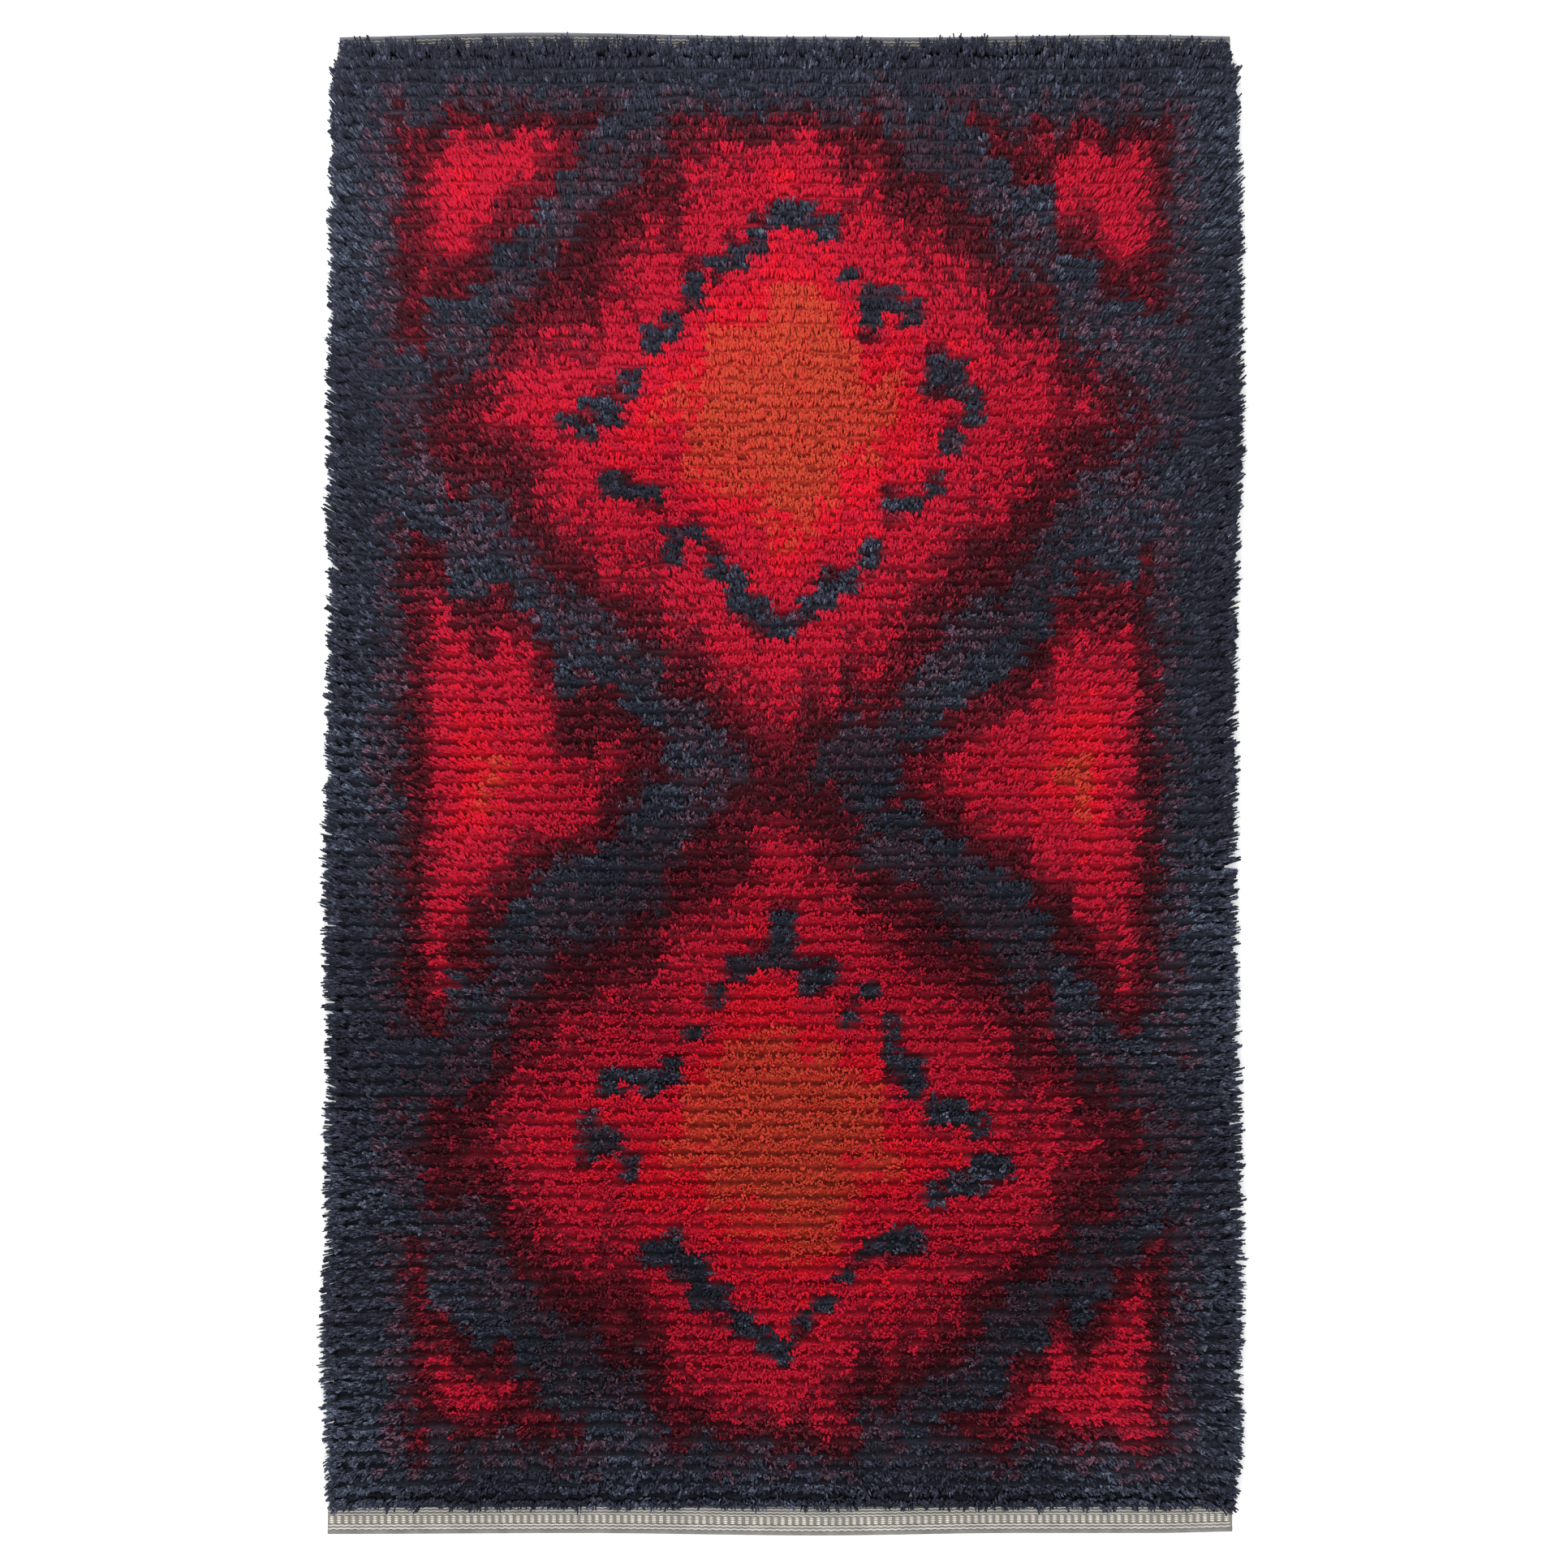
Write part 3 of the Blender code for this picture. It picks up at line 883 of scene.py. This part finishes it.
def make_yarn_material(yarn):
    """Dyed two-ply wool: each end has its own shade, and painted shade between its plies and at its root.
    The dark yarns are the more mottled ones, with deeper painted shade and some paler cut tips."""
    red, green, blue = YARN_COLOURS[yarn]

    def dyed(red_step, green_step, blue_step):
        """The yarn's colour, each of its parts raised or lowered by a share of itself."""
        return (red * (1 + red_step), green * (1 + green_step), blue * (1 + blue_step), 1)

    material, tree, shader = new_material(yarn + "_wool", 0.9, 0.03)
    shader.inputs["Sheen Tint"].default_value = (0.5 + red / 2, 0.5 + green / 2, 0.5 + blue / 2, 1)
    shade = number_attribute(tree, "shade")
    along = number_attribute(tree, "along")
    around = number_attribute(tree, "around")
    fibre_wires = {"X": maths(tree, "MULTIPLY", shade, 90.0), "Y": maths(tree, "MULTIPLY", along, 5.0)}
    fibre_place = add_node(tree, "ShaderNodeCombineXYZ", fibre_wires).outputs["Vector"]
    fibres = noise(tree, fibre_place, 1.0, 3.0)
    # How mottled each yarn is and how deep its painted shade: the dark yarns the most
    mottle_and_painted_shade = float(np.interp(red, (0.1, 0.5), (1.0, 0.35)))
    tip = between(tree, along, 0.55, 1.0, 0.45, 1.0)
    fleck = maths(tree, "MULTIPLY", between(tree, shade, 0.50, 0.80), tip)
    deep = dyed(-0.30 * mottle_and_painted_shade, -0.34 * mottle_and_painted_shade, -0.30 * mottle_and_painted_shade)
    pale = dyed(3.0 * mottle_and_painted_shade**2, 3.2 * mottle_and_painted_shade**2, 3.1 * mottle_and_painted_shade**2)
    painted_ply_shade = dyed(-0.44 * mottle_and_painted_shade, -0.50 * mottle_and_painted_shade, -0.46 * mottle_and_painted_shade)
    painted_root_shade = dyed(-0.60 * mottle_and_painted_shade, -0.65 * mottle_and_painted_shade, -0.60 * mottle_and_painted_shade)
    colour = mix_colour(tree, fleck, deep, pale)
    colour = mix_colour(tree, between(tree, fibres, 0.30, 0.70, 0.0, 0.45), colour, deep)
    turns = maths(tree, "ADD", maths(tree, "MULTIPLY", around, 2.0), maths(tree, "MULTIPLY", along, 3.0))
    plies = maths(tree, "SINE", maths(tree, "MULTIPLY", turns, 2 * math.pi))
    # Painted shade in the lines between the plies, and at the root deep in the pile
    colour = mix_colour(tree, between(tree, plies, -0.8, 0.2, 0.85, 0.0), colour, painted_ply_shade)
    colour = mix_colour(tree, between(tree, along, 0.0, 0.55), painted_root_shade, colour)
    tree.links.new(colour, shader.inputs["Base Color"])
    return material


def knot_grid():
    """The root of every knot, row by row."""
    u = (np.arange(KNOTS) + 0.5) / KNOTS * 2.0 - 1.0
    y = np.linspace(FIRST_ROW, LAST_ROW, ROWS)
    u, y = np.meshgrid(u, y)
    return row_place(u, y)


def knot_nap(x, y):
    """The way each knot's ends lean, in shares of their length, with slow drifts over the rug."""
    across = LEAN_DRIFT * soft_noise(x / 0.10 + 3, y / 0.10 + 5, 21)
    along = LEAN_DRIFT * soft_noise(x / 0.13 + 8, y / 0.09 + 1, 22)
    outwards = np.sign(x) * np.interp(np.abs(x), *zip(*NAP_ACROSS))
    at_ends = np.interp(np.abs(y), (0.0, 0.70, 0.79), (1.0, 0.85, 0.45))
    return across + outwards * at_ends, along + read_table(NAP_ALONG, y)


def bundles_in_knots(shape):
    """How many bundles each knot holds. Both sides and the last row are made plumper."""
    bundles = np.floor(BUNDLES_PER_KNOT + np.random.RandomState(3).rand(*shape)).astype(int)
    bundles[:, [1, -2]] *= 2
    bundles[:, [0, -1]] *= 3
    bundles[-1] *= 2
    return bundles.ravel()


def place_in_knot(bundles):
    """The bundles of each knot side by side, from -1 to 1 across it."""
    first = np.repeat(np.cumsum(bundles) - bundles, bundles)
    held = np.repeat(bundles, bundles)
    return (np.arange(len(held)) - first + 0.5) / held * 2.0 - 1.0


def deal_yarn(tone, chance):
    """The yarn of every bundle, drawn from the recipe for its knot's tone."""
    shares = np.cumsum(recipe_shares(tone), axis=-1)
    return (chance.rand(len(tone))[:, None] > shares).sum(-1).clip(0, len(YARN_COLOURS) - 1)


def bundle_points(places, values):
    """A mesh of bare points, one for each bundle, with its values as attributes."""
    mesh = bpy.data.meshes.new("bundle_points")
    mesh.vertices.add(len(places))
    mesh.vertices.foreach_set("co", places.ravel())
    for name, numbers in values.items():
        kind, key = ("FLOAT", "value") if numbers.ndim == 1 else ("FLOAT_VECTOR", "vector")
        numbers = np.ascontiguousarray(numbers, dtype=np.float32)
        mesh.attributes.new(name, kind, "POINT").data.foreach_set(key, numbers.ravel())
    return mesh


knot_x, knot_y = knot_grid()
bundles = bundles_in_knots(knot_x.shape)
knot_of = np.repeat(np.arange(knot_x.size), bundles)
root_x, root_y = knot_x.ravel()[knot_of], knot_y.ravel()[knot_of]
row_shade = np.repeat(np.random.RandomState(43).uniform(-ROW_SHADE, ROW_SHADE, ROWS), KNOTS)[knot_of]
chance = np.random.RandomState(4)
yarn_of = deal_yarn(chart_tone(root_x, root_y), chance)
fan_x, fan_y, stray_x, stray_y, odd_shade, odd_length = chance.uniform(-1, 1, (6, len(root_x)))
lean_across, lean_along = knot_nap(root_x, root_y)
lean_across += STRAY_ACROSS * stray_x
lean_along += FAN_ALONG * fan_y + STRAY_ALONG * stray_y
is_side = np.isin(knot_of % KNOTS, (0, KNOTS - 1))
is_last = knot_of >= KNOTS * (ROWS - 1)
place = place_in_knot(bundles) + 0.2 * fan_x
roots_x = root_x + np.where(is_side, fan_y, place) * KNOT_WIDTH / 2
upright = 1.0 - soft_turn(np.abs(read_table(NAP_ALONG, root_y)) / UPRIGHT_LEAN)
depth = np.where(is_last, LAST_KNOT_DEPTH, KNOT_DEPTH * (1.0 + UPRIGHT_SPREAD * upright))
roots_y = root_y + np.where(is_side, place * SIDE_KNOT_DEPTH, fan_y * depth) / 2
roots_y += ROW_WOBBLE * soft_noise(root_x / 0.022 + 9, root_y / 0.009 + 2, 44)
lean_along -= np.where(is_last, LAST_LEAN_BACK * (1.0 + odd_length), 0.0)
lean_across -= np.where(is_side, 0.5 * STRAY_ACROSS * stray_x, 0.0)
nap = np.column_stack([lean_across, lean_along, np.zeros(len(root_x))])
roots = np.column_stack([roots_x, roots_y, np.full(len(root_x), ROOT_HEIGHT)])
shade = 0.5 + 0.18 * soft_noise(root_x / 0.09 + 4, root_y / 0.14 + 6, 41) + row_shade + 0.08 * odd_shade
# Painted light: the ends nearest the near end are made paler
shade += NEAR_PAINTED_LIGHT * soft_turn((NEAR_PAINTED_LIGHT_START - root_y) / NEAR_PAINTED_LIGHT_RUN)
stray = np.where(is_side, SIDE_STRAY, 1.0) * END_STRAY
corner = soft_turn((np.abs(root_x) - CORNER_ACROSS) / CORNER_RUN)
corner = corner * soft_turn((np.abs(root_y) - CORNER_ALONG) / CORNER_RUN)
tall = 1.0 - CORNER_TRIM * corner + 0.04 * soft_noise(root_x / 0.06 + 2, root_y / 0.06 + 8, 42)
tall += 0.05 * odd_length
yarn_tree = make_yarn_tree()
for number, yarn in enumerate(YARN_COLOURS):
    used = yarn_of == number
    values = {"nap": nap[used], "shade": shade[used], "tall": tall[used], "stray": stray[used]}
    points = bundle_points(roots[used], values)
    sizes = {
        "Length": END_LENGTH,
        "Thick": END_THICK,
        "Ends": ENDS_PER_BUNDLE,
        "Bundle Width": BUNDLE_WIDTH,
        "Seed": 10 * number,
        "Yarn": make_yarn_material(yarn),
    }
    mesh = grow("ends_" + yarn, points, yarn_tree, sizes)
    add_piece("ends_" + yarn, mesh, YARN_SLOTS[yarn])


# Camera, light and floor
# The rug lies on a plain pale floor, seen from straight above with its far end at the top, in soft
# even light that comes a little more from beyond the far end.

FRAME_SIDE = 1.695
CAMERA_X = 0.0014
PILE_LEVEL = 0.024
LENS = 240.0
SENSOR = 36.0
FLOOR_SIZE = 12.0
FLOOR_LEVEL = -0.0004


def make_floor():
    """A wide flat sheet just under the rug, nearly white, which isn't part of it."""
    grid = bmesh.new()
    bmesh.ops.create_grid(grid, x_segments=8, y_segments=8, size=FLOOR_SIZE / 2)
    for point in grid.verts:
        point.co.z = FLOOR_LEVEL
    mesh = bpy.data.meshes.new("floor")
    grid.to_mesh(mesh)
    grid.free()
    material, tree, shader = new_material("pale_floor", 0.9)
    clouds = noise(tree, object_place(tree), 1.2, 1.0)
    colour = mix_colour(tree, clouds, (0.86, 0.86, 0.86, 1), (0.90, 0.90, 0.90, 1))
    tree.links.new(colour, shader.inputs["Base Color"])
    mesh.materials.append(material)
    floor = bpy.data.objects.new("floor", mesh)
    bpy.context.scene.collection.objects.link(floor)


def add_light(name, place, size, power):
    """A square soft light that faces the middle of the rug."""
    light = bpy.data.lights.new(name, "AREA")
    light.size = size
    light.energy = power
    lamp = bpy.data.objects.new(name, light)
    lamp.location = place
    away = lamp.location.normalized()
    lamp.rotation_euler = away.to_track_quat("Z", "Y").to_euler()
    bpy.context.scene.collection.objects.link(lamp)


make_floor()
add_light("far_light", (-0.9, 2.1, 2.6), 1.6, 65.0)
add_light("top_light", (0.3, -0.4, 3.4), 2.4, 45.0)

world = bpy.data.worlds.new("studio")
world.use_nodes = True
world.node_tree.nodes["Background"].inputs["Color"].default_value = (1.0, 1.0, 1.0, 1)
world.node_tree.nodes["Background"].inputs["Strength"].default_value = 1.35
bpy.context.scene.world = world
bpy.context.scene.view_settings.view_transform = "Standard"

camera_data = bpy.data.cameras.new("camera")
camera_data.lens = LENS
camera_data.sensor_width = SENSOR
camera = bpy.data.objects.new("camera", camera_data)
camera.location = (CAMERA_X, 0.0, PILE_LEVEL + FRAME_SIDE * LENS / SENSOR)
bpy.context.scene.collection.objects.link(camera)
bpy.context.scene.camera = camera
